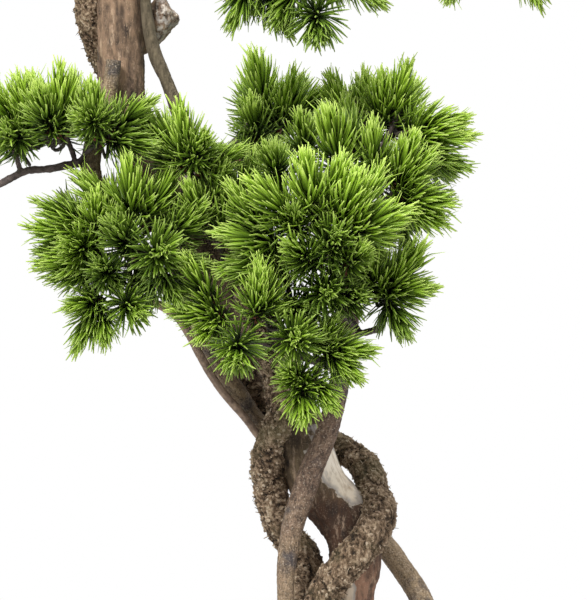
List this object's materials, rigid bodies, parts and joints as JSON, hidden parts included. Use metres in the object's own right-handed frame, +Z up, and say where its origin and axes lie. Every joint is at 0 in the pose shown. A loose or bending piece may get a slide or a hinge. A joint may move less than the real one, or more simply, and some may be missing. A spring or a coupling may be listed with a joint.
{
  "type": "potted bonsai tree",
  "caption": "Pine bonsai with braided, winding stems, twiggy side branches and clustered needle tufts, standing in soil in a plain round tapered pot.",
  "frame": {"origin": "centre of the pot's flat underside, on the surface that the pot stands on", "axes": "+Z up along the pot's axis; -Y towards the side that the tree shows to its viewer; +X to that viewer's right"},
  "size_m": [0.5166, 0.2732, 1.156],
  "materials": {
    "pot": "smooth matt stoneware, warm grey",
    "soil": "loose dark potting soil with crumbs",
    "peeled_bark": "reddish-brown bark, peeled to pale cream wood in patches",
    "corky_bark": "grey-brown corky liana bark, crumbly and flaking",
    "smooth_bark": "smooth pinkish-brown bark with a fine grain",
    "twig_bark": "thin dark purple-brown twig bark",
    "needles": "pine needles, dark green at the base to bright yellow-green tips"
  },
  "bodies": {
    "root": {"branch_back": "twig_bark", "branch_crown": "twig_bark", "branch_front": "twig_bark", "branch_left": "twig_bark", "branch_low_front": "twig_bark", "branch_low_left": "twig_bark", "branch_low_right": "twig_bark", "branch_mid_left": "twig_bark", "branch_right": "twig_bark", "branch_upper_left": "twig_bark", "branch_upper_right": "twig_bark", "liana_left": "corky_bark", "liana_right": "corky_bark", "needles_back_low": "needles", "needles_back_top": "needles", "needles_centre_low": "needles", "needles_crown_back": "needles", "needles_crown_front": "needles", "needles_crown_left": "needles", "needles_crown_right": "needles", "needles_crown_top": "needles", "needles_drop_left": "needles", "needles_drop_right": "needles", "needles_front_drop": "needles", "needles_front_left": "needles", "needles_front_right": "needles", "needles_front_star": "needles", "needles_front_top": "needles", "needles_hang_far": "needles", "needles_hang_left": "needles", "needles_hang_mid": "needles", "needles_left_far": "needles", "needles_left_inner": "needles", "needles_left_near": "needles", "needles_left_tip": "needles", "needles_low_left_out": "needles", "needles_low_left_star": "needles", "needles_low_left_top": "needles", "needles_low_mid": "needles", "needles_low_out": "needles", "needles_low_right": "needles", "needles_low_star": "needles", "needles_mid_left": "needles", "needles_mid_left_top": "needles", "needles_right_low": "needles", "needles_right_low_out": "needles", "needles_right_mid": "needles", "needles_right_out": "needles", "needles_right_top": "needles", "needles_right_top_left": "needles", "needles_upper_left": "needles", "needles_upper_mid": "needles", "needles_upper_right": "needles", "needles_upper_tip": "needles", "pot": "pot", "soil": "soil", "stem_front": "smooth_bark", "stem_left": "smooth_bark", "stem_twin": "smooth_bark", "trunk_main": "peeled_bark"}
  },
  "joints": []
}
